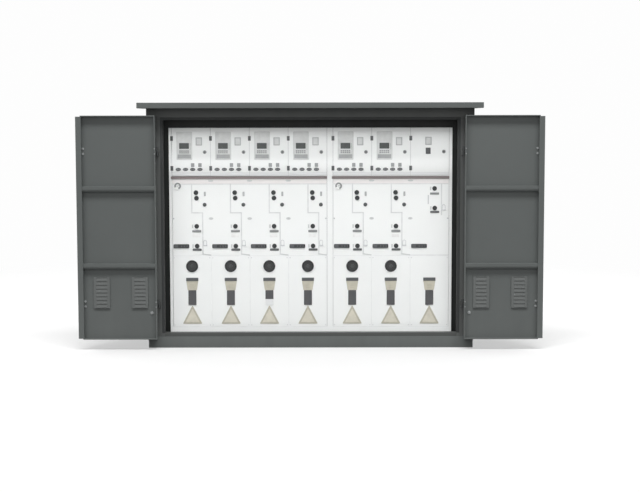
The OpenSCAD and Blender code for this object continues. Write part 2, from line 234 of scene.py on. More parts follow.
def add_piece(name, mesh, material, body="station", replaces=()):
    """A shaded piece that rides on a body and takes its finish from a material slot."""
    mesh.polygons.foreach_set("use_smooth", [True] * len(mesh.polygons))
    mesh.set_sharp_from_angle(angle=SHARP)
    piece = new_object(name, mesh)
    mesh.materials.clear()
    mesh.materials.append(material)
    piece.modifiers.new("even_normals", "WEIGHTED_NORMAL").keep_sharp = True
    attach(piece, body)
    if replaces:
        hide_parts(*replaces)


def put(name, shape, material, slot, *replaces):
    """A gathered shape as a piece of the fixed station."""
    add_piece(name, shape.mesh(name), material, replaces=replaces)


def softened(name, material, edge):
    """A copy of a CAD node with its sharp edges rounded, which stands for that node."""
    source = frame["nodes"][name]
    bm = bmesh.new()
    bm.from_mesh(source.data)
    bmesh.ops.remove_doubles(bm, verts=bm.verts, dist=1e-5)
    bmesh.ops.dissolve_limit(bm, angle_limit=radians(1), verts=bm.verts, edges=bm.edges)
    folds = [e for e in bm.edges if len(e.link_faces) == 2 and e.calc_face_angle() > SHARP]
    bmesh.ops.bevel(bm, geom=folds, offset=edge * MM, segments=2, profile=0.5, affect="EDGES",
                    clamp_overlap=True)
    mesh = bpy.data.meshes.new(name + "_finished")
    bm.to_mesh(mesh)
    bm.free()
    add_piece(name + "_finished", mesh, material, source["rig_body"], [name])


def finish_node(name, material):
    """Gives a CAD node that stays its material."""
    for slot in frame["nodes"][name].material_slots:
        slot.material = material


def box(name):
    """The lowest and the highest corner of a CAD node, in millimetres."""
    return [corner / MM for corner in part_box(name)]


# ---- Materials ----

DUST = (134, 137, 135)


def tinted(colour, factor=1.0):
    """A colour of 0 to 255 steps as the shader wants it, made lighter or darker by a factor."""
    steps = [c / 255 for c in colour]
    plain = [c / 12.92 if c <= 0.04045 else ((c + 0.055) / 1.055) ** 2.4 for c in steps]
    return tuple(min(1.0, c * factor) for c in plain) + (1.0,)


def node(tree, kind, inputs=(), **settings):
    """A shader node with its settings, and its inputs linked or set."""
    made = tree.nodes.new("ShaderNode" + kind)
    for key, value in settings.items():
        setattr(made, key, value)
    for socket, value in dict(inputs).items():
        if isinstance(value, bpy.types.NodeSocket):
            tree.links.new(value, made.inputs[socket])
        else:
            made.inputs[socket].default_value = value
    return made


def noise(place, scale, detail=2.0, stretch=(1, 1, 1)):
    """Noise of 0 to 1 with that many cells a metre."""
    cells = node(place.id_data, "Mapping", {"Vector": place, "Scale": stretch}).outputs["Vector"]
    return node(place.id_data, "TexNoise",
                {"Vector": cells, "Scale": scale, "Detail": detail}).outputs["Fac"]


def worked(operation, first, second, kind="Math"):
    """The value that a maths node makes of two inputs."""
    return node(first.id_data, kind, {0: first, 1: second}, operation=operation).outputs["Value"]


def colour_mix(factor, first, second):
    """The result socket of a colour mix."""
    return node(factor.id_data, "Mix", {0: factor, 6: first, 7: second}, data_type="RGBA").outputs[2]


def reach(value, low, high, first=0.0, second=1.0):
    """Value mapped from low..high to first..second."""
    return node(value.id_data, "MapRange", {"Value": value, "From Min": low, "From Max": high,
                                            "To Min": first, "To Max": second}).outputs["Result"]


def mottled(clouds, colour, dark, pale):
    """The colour in clouds, from its darker factor to its paler one."""
    return colour_mix(reach(clouds, 0.3, 0.7), tinted(colour, dark), tinted(colour, pale))


def new_material(name):
    """An empty material with its shader and its object coordinates."""
    material = bpy.data.materials.new(name)
    material.use_nodes = True
    tree = material.node_tree
    place = node(tree, "TexCoord").outputs["Object"]
    return material, tree.nodes["Principled BSDF"], place


def dress(shader, base, roughness, relief=None, strength=0.0, depth=0.0003):
    """Links a colour and a roughness to a shader, and a relief if there is one."""
    tree = shader.id_data
    tree.links.new(base, shader.inputs["Base Color"])
    tree.links.new(roughness, shader.inputs["Roughness"])
    if relief:
        bump = node(tree, "Bump", {"Height": relief, "Strength": strength, "Distance": depth})
        tree.links.new(bump.outputs["Normal"], shader.inputs["Normal"])


def painted(name, colour, roughness=0.45, mottle=0.04, peel=0.12, dust=0.0, wear=0.0):
    """Powder coat: fine orange peel, faint clouds, dust low down and paler worn edges."""
    material, shader, place = new_material(name)
    tree = shader.id_data
    clouds = noise(place, 2.2, 4.0)
    grain = noise(place, 260.0)
    streaks = noise(place, 9.0, 3.0, (1.0, 1.0, 0.12))
    base = mottled(clouds, colour, 1 - mottle, 1 + mottle)
    base = colour_mix(reach(grain, 0.35, 0.65, 0.0, 0.10), base, tinted(colour, 0.7))
    if dust:
        height = node(tree, "SeparateXYZ", {"Vector": place}).outputs["Z"]
        film = worked("MULTIPLY", reach(height, 0.05, 0.9, 1.0, 0.1),
                      reach(streaks, 0.2, 0.8, dust * 0.4, dust))
        base = colour_mix(film, base, tinted(DUST))
    if wear:
        rim = node(tree, "Bevel", {"Radius": 0.003}, samples=4).outputs["Normal"]
        flat = node(tree, "NewGeometry").outputs["Normal"]
        same = worked("DOT_PRODUCT", rim, flat, "VectorMath")
        edge = worked("MULTIPLY", reach(same, 0.75, 0.98, 1.0, 0.0),
                      reach(clouds, 0.3, 0.7, wear * 0.5, wear))
        base = colour_mix(edge, base, tinted(colour, 1.8))
    shader.inputs["Specular IOR Level"].default_value = 0.3
    gloss = reach(streaks, 0.2, 0.8, roughness - 0.06, roughness + 0.06)
    dress(shader, base, gloss, grain, peel, 0.0006)
    return material


def moulded(name, colour, roughness=0.5, grain_size=900.0):
    """Moulded plastic or rubber with a fine spark-eroded grain."""
    material, shader, place = new_material(name)
    grain = noise(place, grain_size)
    clouds = noise(place, 24.0, 3.0)
    dress(shader, mottled(clouds, colour, 0.93, 1.07),
          reach(clouds, 0.3, 0.7, roughness - 0.05, roughness + 0.05), grain, 0.15)
    return material


def metal(name, colour, roughness=0.35, brushed=(1, 1, 1), spangle=0.12):
    """Zinc-plated or brushed metal with uneven gloss."""
    material, shader, place = new_material(name)
    shader.inputs["Metallic"].default_value = 1.0
    patches = noise(place, 70.0, 4.0, brushed)
    fine = noise(place, 500.0, 2.0, brushed)
    dress(shader, mottled(patches, colour, 1 - spangle, 1 + spangle),
          reach(patches, 0.25, 0.75, roughness - 0.08, roughness + 0.12), fine, 0.12)
    return material


def glazed(name, colour, roughness=0.08):
    """A dark display or window pane: a glossy coat over a tinted ground with faint smears."""
    material, shader, place = new_material(name)
    smears = noise(place, 35.0, 4.0, (1.0, 1.0, 0.4))
    dress(shader, mottled(smears, colour, 0.9, 1.12),
          reach(smears, 0.3, 0.8, roughness, roughness + 0.12))
    shader.inputs["Coat Weight"].default_value = 0.35
    shader.inputs["Coat Roughness"].default_value = 0.05
    return material


HOUSING = painted("housing_powder_coat", (92, 96, 95), 0.5, dust=0.24, wear=0.3)
# A paler copy of the housing paint for the louvres: painted light where the blades catch it.
LOUVRE_LIT_PAINT = painted("louvre_painted_light_coat", (104, 107, 106), 0.5, mottle=0.02)
# The frame takes darker copies of the housing paint: painted shade, darkest on the header and the sill.
POST_SHADE_PAINT = painted("post_painted_shade_coat", (83, 85, 84), 0.5, dust=0.1, wear=0.05)
HEADER_SILL_SHADE_PAINT = painted("header_sill_painted_shade_coat", (72, 74, 73), 0.5, dust=0.05, wear=0.05)
GALVANISED = metal("galvanised_sheet", (120, 122, 123), 0.5, spangle=0.25)
# Near-black paint for the plates round the switchgear: painted shade.
SHADE_SHEET_PAINT = painted("painted_shade_sheet_coat", (29, 31, 30), 0.55, mottle=0.06)
WHITE = painted("gear_powder_coat", (238, 240, 239), 0.42, mottle=0.012, peel=0.10)
# Greys for the set-back strips at the blocks' ends: partly the end covers' own light grey, partly
# painted shade.
MIDDLE_SHADE_WHITE = painted("middle_strip_painted_shade_coat", (212, 214, 214), mottle=0.012, peel=0.10)
END_SHADE_GREY = painted("end_strip_painted_shade_coat", (203, 205, 205), mottle=0.012, peel=0.10)
TRIM = painted("trim_paint", (136, 128, 127), 0.4, mottle=0.03)
ROSE = painted("rose_white_film", (234, 231, 230), 0.4, mottle=0.02, peel=0.05)
PALE_BAND = painted("pale_grey_film", (226, 228, 228), 0.4, mottle=0.01, peel=0.05)
CASE_GREY = moulded("relay_case_plastic", (208, 210, 209), 0.45)
FLAP_GREY = moulded("flap_plastic", (160, 162, 162))
MARK_GREY = moulded("mimic_line_film", (212, 214, 214), 0.45)
LABEL = moulded("blank_label_film", (231, 232, 231), 0.4)
BLACK = moulded("black_plastic", (44, 46, 47), 0.42)
CHARCOAL = moulded("charcoal_plastic", (78, 80, 81), 0.45)
GRAPHITE = moulded("graphite_plastic", (98, 100, 101), 0.45)
SLATE = moulded("slot_plate_plastic", (75, 75, 77), 0.4)
MARK_PALE = moulded("pale_mark_film", (198, 200, 200), 0.45)
JOINT_GREY = moulded("joint_gasket", (200, 202, 202), 0.6)
END_JOINT = moulded("end_joint_gasket", (120, 122, 122), 0.6)
JOINT_WHITE = moulded("joint_sealant", (226, 228, 228), 0.6)
# Dark seal rubber, partly painted shade on the posts at the opening.
SEAL_AND_SHADE_RUBBER = moulded("door_seal_and_painted_shade_rubber", (52, 54, 54), 0.85, grain_size=500.0)
METER_GREY = moulded("meter_frame_plastic", (176, 178, 178))
BAR_GREY = moulded("slide_bar_plastic", (143, 146, 146))
LOW_BAR_GREY = moulded("lower_bar_plastic", (104, 106, 107))
HOLDER_GREY = moulded("holder_plastic", (152, 155, 155))
KEY_GREY = moulded("key_plastic", (122, 125, 126))
BEIGE = moulded("beige_plastic", (190, 186, 171))
BEIGE_FIELD = moulded("beige_field_plastic", (206, 202, 188))
BEIGE_DARK = moulded("beige_rim_plastic", (180, 176, 160))
RUBBER = moulded("black_rubber", (30, 31, 31), 0.8, grain_size=500.0)
HUB = moulded("hub_plastic", (54, 56, 56))
SCREEN = glazed("dark_screen", (70, 74, 73))
PANE = glazed("window_pane", (30, 32, 32), 0.12)
DIAL = moulded("white_dial", (232, 234, 232), 0.4)
ZINC = metal("zinc_plated_steel", (196, 198, 200), 0.32)
BOLT_GREY = painted("passivated_bolts", (158, 161, 161), mottle=0.05)
LOCK_STEEL = metal("lock_steel", (165, 167, 170), 0.38, brushed=(1, 1, 0.1))
HINGE = painted("hinge_coat", (58, 60, 60), 0.42, wear=0.5)
GREEN_LAMP = glazed("green_lamp", (70, 120, 84))


# ---- Housing ----

for name in ("left_wall", "right_wall", "back_wall", "roof", "base_frame"):
    softened(name, HOUSING, 2.5)
# Posts, header and sill in darker copies of the housing paint: painted shade, on the posts beside the
# open doors and on the header under the roof's overhang, with the sill as dark as the header.
for name, paint in (("left_post", POST_SHADE_PAINT), ("right_post", POST_SHADE_PAINT), ("header", HEADER_SILL_SHADE_PAINT),
                    ("sill", HEADER_SILL_SHADE_PAINT)):
    softened(name, paint, 1)
finish_node("floor_plate", GALVANISED)

roof_low, roof_high = box("roof")
base_low, base_high = box("base_frame")
back_low, back_high = box("back_wall")
wall_low, wall_high = box("right_wall")
post_low, post_high = box("right_post")
header_low = box("header")[0]
sill_top = box("sill")[1].z
floor_top = box("floor_plate")[1].z
gear_low, gear_high = box("left_switchgear")
gear_end = box("right_switchgear")[1].x
cover_low, cover_high = box("left_cable_covers")

# Dark plates beside and over the switchgear, set back from its front: painted shade filling the gap
# round it
SHADE_SHEET_SETBACK, SHADE_SHEET_THICKNESS = 30, 2
blank = Shape()
for low_x, high_x, low_z in ((-wall_low.x, gear_low.x, floor_top), (gear_end, wall_low.x, floor_top),
                             (gear_low.x, gear_end, gear_high.z)):
    blank.slab(at(FRONT, 0, cover_low.y + SHADE_SHEET_SETBACK, 0),
               between(low_x, low_z, high_x, wall_high.z), -SHADE_SHEET_THICKNESS, 0)
put("painted_shade_plates", blank, SHADE_SHEET_PAINT, "inner_steel")

# The door seal laps half a millimetre over the edge of the opening; its dark rubber is partly a seal and
# partly painted shade, darkening the posts towards the opening
SEAL_WIDTH, SEAL_LAP, SEAL_PROUD = 20, 0.5, 3.5
seal, edge_shade_seals = shapes(2)
seal_out = SEAL_WIDTH / 2 - SEAL_LAP
opening_z, opening_height = (sill_top + header_low.z) / 2, header_low.z - sill_top
for side, inwards in ((-1, RIGHT), (1, LEFT)):
    seal.slab(at(FRONT, side * (post_low.x + seal_out), post_low.y, opening_z),
              rect(SEAL_WIDTH, opening_height), 0, SEAL_PROUD, 1.5, 3)
    edge_shade_seals.slab(at(inwards, side * post_low.x, (post_low.y + post_high.y) / 2, opening_z),
                    rect(post_high.y - post_low.y, opening_height), 0, 1.5, 0.5)
seal.slab(at(FRONT, 0, header_low.y, header_low.z + seal_out),
          rect(2 * (post_low.x + SEAL_WIDTH - SEAL_LAP), SEAL_WIDTH), 0, SEAL_PROUD, 1.5, 3)
put("door_seal", seal, SEAL_AND_SHADE_RUBBER, "seal_rubber")
# Dark rubber over the posts' inner faces at the opening: painted shade over their lit edges.
put("post_edge_shade_seals", edge_shade_seals, RUBBER, "seal_rubber")

# Rivets along the wall panels' edges, and cover strips over their joints
RIVET, RIVET_MARGIN, RIVETS_UP, RIVETS_ACROSS = 3.2, 30, 12, 22
STRIP_WIDTH, STRIP_SHEET, RIVET_OFFSET = 50, 2, 16
BACK_SHEETS, ROOF_SHEETS = 4, 4
rivets, strips = shapes(2)


def rivet(place):
    """A domed blind rivet."""
    rivets.turned(place, [(RIVET, 0), (RIVET, RIVET * 0.25), (RIVET * 0.75, RIVET * 0.55),
                          (RIVET * 0.3, RIVET * 0.6)], 12)


def rivet_row(place, low, high):
    """A row of rivets up a wall."""
    for z in spread(low + 2 * RIVET_MARGIN, high - 2 * RIVET_MARGIN, RIVETS_UP):
        rivet(shift(place, 0, z))


def wall_joint(place, low, high):
    """The cover strip over an upright joint, with its two rows of rivets."""
    strips.slab(shift(place, 0, (low + high) / 2), rect(STRIP_WIDTH, high - low - 20, 2),
                0, STRIP_SHEET, 0.8)
    for offset in (-RIVET_OFFSET, RIVET_OFFSET):
        rivet_row(shift(place, offset, 0, STRIP_SHEET), low, high)


for side, direction in ((-1, LEFT), (1, RIGHT)):
    for y in (wall_low.y + RIVET_MARGIN, wall_high.y - RIVET_MARGIN):
        rivet_row(at(direction, side * wall_high.x, y, 0), wall_low.z, wall_high.z)
    wall_joint(at(direction, side * wall_high.x, (wall_low.y + wall_high.y) / 2, 0),
               wall_low.z, wall_high.z)
for x in spread(back_low.x, back_high.x, BACK_SHEETS + 1)[1:-1]:
    wall_joint(at(BACK, x, back_high.y, 0), back_low.z, back_high.z)
for z in (back_low.z + RIVET_MARGIN, back_high.z - RIVET_MARGIN):
    for x in spread(back_low.x + RIVET_MARGIN, back_high.x - RIVET_MARGIN, RIVETS_ACROSS):
        rivet(at(BACK, x, back_high.y, z))
put("wall_joint_strips", strips, HOUSING, "housing_paint")
put("wall_rivets", rivets, HOUSING, "housing_paint")

# Roof sheets meet under cover strips that follow the fall to the back
roof_points = [v.co / MM for v in frame["nodes"]["roof"].data.vertices]
back_edge = max(p.z for p in roof_points if p.y > roof_high.y - 1)
roof_slope = atan2(roof_high.z - back_edge, roof_high.y - roof_low.y)
CAP_START, CAP_END = 160, 20      # from the front and the back edge of the roof
caps = Shape()
for x in spread(roof_low.x, roof_high.x, ROOF_SHEETS + 1)[1:-1]:
    start, end = roof_low.y + CAP_START, roof_high.y - CAP_END
    level = roof_high.z - tan(roof_slope) * ((start + end) / 2 - roof_low.y)
    tilt = at(Matrix.Rotation(-roof_slope, 4, "X"), x, (start + end) / 2, level)
    caps.slab(tilt, rect(60, end - start, 3), -0.5, 1.2, 0.6)
put("roof_joint_strips", caps, HOUSING, "housing_paint")


def hex_bolt(shape, place, size):
    """A washer and a hexagon head; size is the thread's diameter."""
    washer = size * 1.05
    shape.turned(place, [(washer, 0), (washer, size * 0.15), (washer * 0.94, size * 0.2)])
    shape.slab(place, ellipse(size * 1.74, size * 1.74, 6), size * 0.2, size * 0.8, size * 0.1)


def screw(shape, place, radius):
    """A pan head with a driver recess."""
    shape.turned(place, [(radius, 0), (radius, radius * 0.35), (radius * 0.8, radius * 0.6),
                         (radius * 0.45, radius * 0.65), (radius * 0.4, radius * 0.3)], 16)


# Earthing bosses at the ends of the base frame
BOSS_INSET, BOSS_HEIGHT = 120, 8
bosses, boss_bolts = shapes(2)
for side, direction in ((-1, LEFT), (1, RIGHT)):
    for y in (base_low.y + BOSS_INSET, base_high.y - BOSS_INSET):
        place = at(direction, side * base_high.x, y, base_high.z / 2)
        bosses.turned(place, [(17, 0), (17, BOSS_HEIGHT - 1), (16, BOSS_HEIGHT)], 28)
        hex_bolt(boss_bolts, shift(place, n=BOSS_HEIGHT), 11)
put("earthing_bosses", bosses, ZINC, "fastener_steel")
put("earthing_bolts", boss_bolts, ZINC, "fastener_steel")


# ---- Switchgear ----

END_STRIP = 23        # from the end of a block to the joint of its first panel
PLINTH = 96           # height of a block's foot under its covers
mimic_low, mimic_high = box("left_operating_panel")
trim_low, trim_high = box("trim_strips")
door_low, door_high = box("left_instrument_doors")
front = mimic_low.y
FACE = at(FRONT, 0, front, 0)
gap = cover_low.x - gear_low.x - END_STRIP      # half of the joint between two panels


def panel_middles(side):
    """X of the middle of each panel of a block."""
    low, high = box(side + "_operating_panel")
    pitch = (high.x - low.x + 2 * gap) / PANELS[side]
    return [low.x - gap + (k + 0.5) * pitch for k in range(PANELS[side])]


blocks = {side: panel_middles(side) for side in PANELS}
middles = blocks["left"] + blocks["right"]
feeders = middles[:-1]
last_panel = middles[-1]
half_panel = (middles[1] - middles[0]) / 2


def on_front(x, z, proud=0):
    """A drawing plane on the front plates, or standing proud of them."""
    return at(FRONT, x, front - proud, z)


def on_panel(x, spot):
    """A drawing plane at an (offset, height) on the panel whose middle is at x."""
    return on_front(x + spot[0], spot[1])


for name, edge in (("switchgear", 1), ("instrument_doors", 1.2), ("operating_panel", 1.2),
                   ("cable_covers", 1.2)):
    for side in PANELS:
        softened(f"{side}_{name}", WHITE, edge)
softened("trim_strips", TRIM, 0.6)

# The trim strips go on over the joint at the left end of each block
trim_ends = Shape()
for side in PANELS:
    start = box(side + "_operating_panel")[0].x
    trim_ends.slab(at(FRONT, start - 5, trim_low.y, (trim_low.z + trim_high.z) / 2),
                   rect(11, trim_high.z - trim_low.z), -8, 0, 0.6)
put("trim_ends", trim_ends, TRIM, "trim_paint")

# Gaskets in the joints, just below the plates' faces, and plain strips set back at the
# ends of the blocks in greys darker than the gear: partly the end covers' own light grey,
# partly painted shade, darkest beside the posts
JOINT_FLOOR, END_FLOOR = -16, -16.5
door_joints, cover_joints, end_joints, outer_shade_strips, middle_shade_strips = shapes(5)
for side, xs in blocks.items():
    for x in xs[1:]:
        edge = x - half_panel
        for shape, low, high, depth in ((door_joints, door_low.z, door_high.z, 1.5),
                                        (cover_joints, cover_low.z, cover_high.z, 1.2)):
            shape.slab(FACE, between(edge - gap, low, edge + gap, high), JOINT_FLOOR, -depth, 0.3)
    for out, x in ((-1, xs[0] - half_panel), (1, xs[-1] + half_panel)):
        for width, low, high in ((10, cover_low.z, mimic_high.z), (5, mimic_high.z, door_high.z)):
            end_joints.slab(shift(FACE, x + out * (width / 2 - gap)),
                            between(-width / 2, low, width / 2, high), END_FLOOR, -12.5, 0.2)
        end = box(side + "_switchgear")[0 if out < 0 else 1].x
        strips_here = outer_shade_strips if out == SIDES[side] else middle_shade_strips
        strips_here.slab(FACE, between(min(x, end), cover_low.z, max(x, end), door_high.z),
                         END_FLOOR, -14, 0.2)
    for low, high in ((cover_high.z, mimic_low.z), (gear_low.z + PLINTH, cover_low.z)):
        cover_joints.slab(FACE, between(xs[0] - half_panel, low, xs[-1] + half_panel, high),
                          JOINT_FLOOR, -0.8, 0.2)
put("door_gaskets", door_joints, JOINT_GREY, "seal_rubber")
put("end_gaskets", end_joints, END_JOINT, "seal_rubber")
put("outer_end_shade_strips", outer_shade_strips, END_SHADE_GREY, "gear_paint")
put("middle_end_shade_strips", middle_shade_strips, MIDDLE_SHADE_WHITE, "gear_paint")
put("cover_gaskets", cover_joints, JOINT_WHITE, "seal_rubber")

# Films: a rose-white band and the busbar under the trim strip, and a pale band over it
bands, pale, lines, faint_lines = shapes(4)
busbar_z = trim_low.z - 41
for side in PANELS:
    low, high = box(side + "_operating_panel")
    middle, width = (low.x + high.x) / 2, high.x - low.x
    bands.slab(on_front(middle, trim_low.z - 21.5), rect(width - 4, 33, 1), 0, 0.4, 0.2)
    lines.slab(on_front(middle, busbar_z), rect(width - 8, 6), 0, 0.5, 0.2)
for x in middles:
    pale.slab(on_front(x, door_low.z + 16), rect(2 * (half_panel - gap) - 4, 28, 1), 0, 0.4, 0.2)
put("rose_bands", bands, ROSE, "label_film")
put("pale_bands", pale, PALE_BAND, "label_film")


def run(shape, x, path, width=9):
    """Straight strips through (offset, height) points, one after another."""
    for (u0, z0), (u1, z1) in zip(path, path[1:]):
        step = Vector((u1 - u0, z1 - z0))
        place = on_front(x + (u0 + u1) / 2, (z0 + z1) / 2)
        turn = Matrix.Rotation(atan2(step.y, step.x), 4, "Z")
        shape.slab(place @ turn, rect(step.length + width, width), 0, 0.6, 0.2)


# Mimic diagram: from the busbar a feeder that steps to the right below the upper switch
side_edge = half_panel - 3
for x in feeders:
    run(lines, x, [(2, busbar_z), (2, 1064), (88, 1064), (88, 732)])
    run(faint_lines, x, [(88, 732), (150, 724)])
run(lines, last_panel, [(94, busbar_z), (94, 1048)])
run(faint_lines, last_panel, [(-12, 1200), (-12, 1136)])
run(lines, last_panel, [(-side_edge, 723), (side_edge, 723)], 4)
put("mimic_lines", lines, MARK_GREY, "label_film")
put("mimic_cable_lines", faint_lines, MARK_PALE, "label_film")

# Clips over the joints between panels, and the screws of the front plates
CLIP_Z, CORNER_ZS = 1018, (702, 158)
clips, fasteners = shapes(2)
for xs in blocks.values():
    for x in xs[1:]:
        place = on_front(x - half_panel, CLIP_Z)
        clips.slab(place, ellipse(36, 20), 0, 1.6, 0.6)
        screw(fasteners, shift(place, n=1.6), 4)
        clips.slab(on_front(x - half_panel, trim_low.z - 15), ellipse(44, 14), 0, 1.4, 0.6)
    for x in (xs[0] - half_panel + 11, xs[-1] + half_panel - 11):
        screw(fasteners, on_front(x, CLIP_Z), 6)
for x in middles:
    for side in (-1, 1):
        for z in CORNER_ZS:
            screw(fasteners, on_front(x + side * (half_panel - 12), z), 3.5)
put("joint_clips", clips, MARK_PALE, "fastener_steel")
put("panel_fasteners", fasteners, ZINC, "fastener_steel")


# ---- Instrument doors ----

HINGE_ZS, HINGE_LEAF, HINGE_HEIGHT = (1658, 1420), 9, 37
hinges, pins = shapes(2)
for x in middles:
    for z in HINGE_ZS:
        place = on_front(x - half_panel + 1, z)
        for side in (-1, 1):
            hinges.slab(shift(place, side * 6.8), rect(HINGE_LEAF, HINGE_HEIGHT, 1), 0, 3, 0.5)
        pins.turned(at(UP, x - half_panel + 1, front - 3.5, z - HINGE_HEIGHT / 2),
                    [(3, 0), (3.6, 1), (3.6, HINGE_HEIGHT - 1), (3, HINGE_HEIGHT)], 16)
put("instrument_hinge_plates", hinges, GRAPHITE, "dark_plastic")
put("instrument_hinge_pins", pins, CHARCOAL, "dark_plastic")

# Protection relays: stepped case, screen, keys, a row of lamps and a terminal flap
FITTING_WIDTH = 126      # of a relay, and of a voltage indicator
relay_low, relay_high = box("protection_relays")
relay_height = relay_high.z - relay_low.z
relay_top = front - relay_low.y
relay_floor = relay_top - 1.5
relay_u = relay_low.x - middles[0] + FITTING_WIDTH / 2
step = relay_top / 2
cases, screens, keys, flaps, lamps = shapes(5)
for x in feeders:
    place = on_front(x + relay_u, (relay_low.z + relay_high.z) / 2)
    cases.slab(place, rect(FITTING_WIDTH, relay_height, 6), 0, step, 1.5)
    cases.dish(place, *frame_of(FITTING_WIDTH - 12, relay_height - 12, 5, 4),
               step, relay_top, relay_floor, 0.6)
    screens.dish(shift(place, -1.5, -0.5), *frame_of(78, 46, 3, 3), relay_floor, relay_top,
                 relay_top - 0.7, 0.3)
    for v, height in ((-41, 11), (-55, 9)):
        for k in range(5):
            keys.slab(shift(place, -34 + 16 * k, v), rect(12.5, height, 1.5), relay_floor, relay_top)
    for k in range(6):
        lamps.turned(shift(place, 47, 16 - 8.5 * k),
                     [(2, relay_floor), (2, relay_top - 1), (1, relay_top - 0.4)], 12)
    flap, flap_top = shift(place, -1, -84.5), relay_top - 0.5
    flaps.slab(flap, rect(110, 32, 2), relay_floor, flap_top)
    for k in range(6):
        flaps.slab(shift(flap, -42.5 + 17 * k, -2), rect(11, 20, 1), flap_top, relay_top, 0.3)

put("relay_cases", cases, CASE_GREY, "relay_plastic", "protection_relays")
put("relay_screens", screens, SCREEN, "display_glass")
put("relay_keys", keys, BAR_GREY, "relay_plastic")
put("relay_flaps", flaps, FLAP_GREY, "relay_plastic")
put("relay_lamps", lamps, GREEN_LAMP, "display_glass")

# A meter frame and a round door latch on each panel, each at (offset, height)
FEEDER_DOOR, END_DOOR = ((63, 1634), (109, 1549)), ((-13, 1636), (110, 1551))
frames, faces, latches, latch_slots = shapes(4)
for x in middles:
    meter, latch = END_DOOR if x == last_panel else FEEDER_DOOR
    place = on_panel(x, meter)
    frames.dish(place, *frame_of(51, 65, 4, 8), 0, 4, 1.5, 0.8)
    faces.slab(place, rect(34, 48), 1.5, 2.2, 0.2)
    place = on_panel(x, latch)
    latches.turned(place, [(14.5, 0), (14.5, 3), (13.5, 4), (9.5, 4), (9, 1.5)], 28)
    latch_slots.turned(place, [(7.5, 1.5), (7.5, 5), (6.5, 6)], 20)
    latch_slots.slab(place, rect(13, 3, 1), 6, 9, 0.5)
put("meter_frames", frames, METER_GREY, "relay_plastic")
put("meter_faces", faces, CASE_GREY, "relay_plastic")
put("door_latches", latches, BAR_GREY, "dark_plastic")
put("latch_keys", latch_slots, GRAPHITE, "dark_plastic")

# A dark rotary selector under the last panel's meter
SELECTOR_AT = (-15, 1557)
selector = Shape()
place = on_panel(last_panel, SELECTOR_AT)
selector.slab(place, rect(39, 50, 3), 0, 5, 1)
selector.turned(place, [(13, 5), (13, 8), (12, 9)])
selector.slab(place, rect(6, 24, 1.5), 9, 15, 1)
put("voltage_selector", selector, CHARCOAL, "dark_plastic")

# Oval push-button pairs, with a holder over each of the last two
BUTTONS, HOLDERS, BUTTON_Z, HOLDER_Z = (-103, -45, 12, 70), (12, 70), 1411.5, 1446
bezels, button_caps, holders = shapes(3)
for x in feeders:
    for u in BUTTONS:
        place = on_front(x + u, BUTTON_Z)
        bezels.dish(place, ellipse(42, 26), ellipse(36, 20), 0, 5, 3, 0.8)
        for side in (-1, 1):
            button_caps.turned(shift(place, side * 8.5), [(7, 3), (7, 7), (6, 8), (2, 8.3)], 20)
    for u in HOLDERS:
        holders.dish(on_front(x + u, HOLDER_Z), *frame_of(27, 31, 3, 8), 0, 3, 1.5, 0.5)
put("button_bezels", bezels, GRAPHITE, "dark_plastic")
put("button_caps", button_caps, KEY_GREY, "dark_plastic")
put("button_holders", holders, HOLDER_GREY, "relay_plastic")


# ---- Operating panel ----

# Ready indicators: rim, dial, a three-quarter band with ticks and a needle
BAND_START, BAND_END, TICK_STEP, NEEDLE_TURN = -75, 210, 20, 20      # degrees
gauge_low, gauge_high = box("ready_indicators")
gauge_radius = (gauge_high.z - gauge_low.z) / 2
gauge_depth = front - gauge_low.y
dial_radius = gauge_radius - 3
BAND_OUTER, BAND_INNER, TICKS_AT = gauge_radius * 0.90, gauge_radius * 0.48, gauge_radius * 0.41
turns = [radians(t) for t in spread(BAND_START, BAND_END, 37)]
band = [(BAND_OUTER * cos(t), BAND_OUTER * sin(t)) for t in turns]
band += [(BAND_INNER * cos(t), BAND_INNER * sin(t)) for t in reversed(turns)]
rims, dials, scales, needles = shapes(4)
for x in (gauge_low.x + gauge_radius, gauge_high.x - gauge_radius):
    place = on_front(x, (gauge_low.z + gauge_high.z) / 2)
    rims.turned(place, [(gauge_radius, 0), (gauge_radius, gauge_depth - 1),
                        (gauge_radius - 1, gauge_depth), (gauge_radius - 2.5, gauge_depth),
                        (dial_radius, gauge_depth - 1), (dial_radius, 2)], 48)
    dials.turned(place, [(dial_radius, 2), (dial_radius, 2.6), (dial_radius - 0.5, 3)], 48)
    scales.slab(place, band, 3, 3.4, 0.1)
    for degrees in range(BAND_START, BAND_END, TICK_STEP):
        tick = place @ Matrix.Rotation(radians(degrees), 4, "Z")
        needles.slab(shift(tick, TICKS_AT), rect(3.5, 0.9), 3, 3.4, 0.1)
    hand = place @ Matrix.Rotation(radians(NEEDLE_TURN), 4, "Z")
    needles.slab(shift(hand, 5), rect(26, 1.4), 3.6, 4.2, 0.2)
    needles.turned(place, [(2.6, 3), (2.6, 4.5), (2, 5)], 16)
put("gauge_rims", rims, LABEL, "fastener_steel", "ready_indicators")
put("gauge_dials", dials, DIAL, "label_film")
put("gauge_scales", scales, BAR_GREY, "label_film")
put("gauge_needles", needles, CHARCOAL, "dark_plastic")

# Operating sockets: a collar with a slide across its hole, and a slide bar under some.
# Each is (offset from the panel's middle, height on the operating panel, drop to its bar).
FEEDER_SOCKETS = [(36, 506, 0), (40, 462, 0), (40, 236, 39), (42, 77, 29)]
END_SOCKETS = [(38, 537, 41), (40, 380, 31)]
PALE_DROP = 35           # a bar with a longer drop is a pale one
collars, slides, pale_bars, dark_bars, pale_ridges, dark_ridges = shapes(6)


